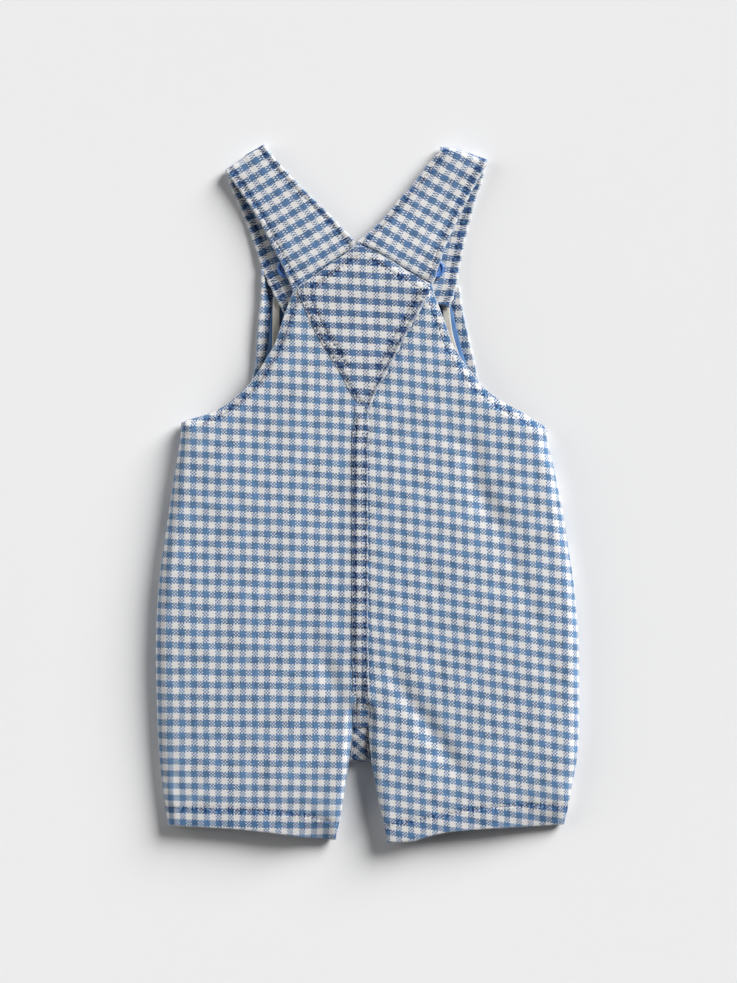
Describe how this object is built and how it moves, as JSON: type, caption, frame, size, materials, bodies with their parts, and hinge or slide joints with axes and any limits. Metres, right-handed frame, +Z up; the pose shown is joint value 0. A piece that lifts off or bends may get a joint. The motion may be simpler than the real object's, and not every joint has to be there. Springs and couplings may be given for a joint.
{
  "type": "baby shortalls",
  "caption": "Gingham baby shortalls with a bib, turned-over buttoned straps and a low back, laid face down and flat.",
  "frame": {"origin": "centre of the garment's outline on the surface it lies on", "axes": "+X to the right as seen from above, +Y from the hems to the shoulders, +Z up from the surface"},
  "size_m": [0.2544, 0.4179, 0.0179],
  "materials": {
    "gingham": "soft washed cotton twill, woven in blue and off-white checks",
    "chambray": "plain woven blue cotton, matt",
    "tape": "off-white woven tape, matt",
    "button_plastic": "moulded plastic, soft gloss"
  },
  "bodies": {
    "root": {"back_left": "gingham", "back_right": "gingham", "back_yoke": "gingham", "seat_seam": "gingham", "crotch_gusset": "gingham", "front_left": "gingham", "front_right": "gingham", "front_bib": "gingham", "bib_facing": "chambray", "facing_tape_left": "tape", "facing_tape_right": "tape", "strap_left": "gingham", "strap_right": "gingham", "strap_button_left": "button_plastic", "strap_button_right": "button_plastic"}
  },
  "joints": []
}
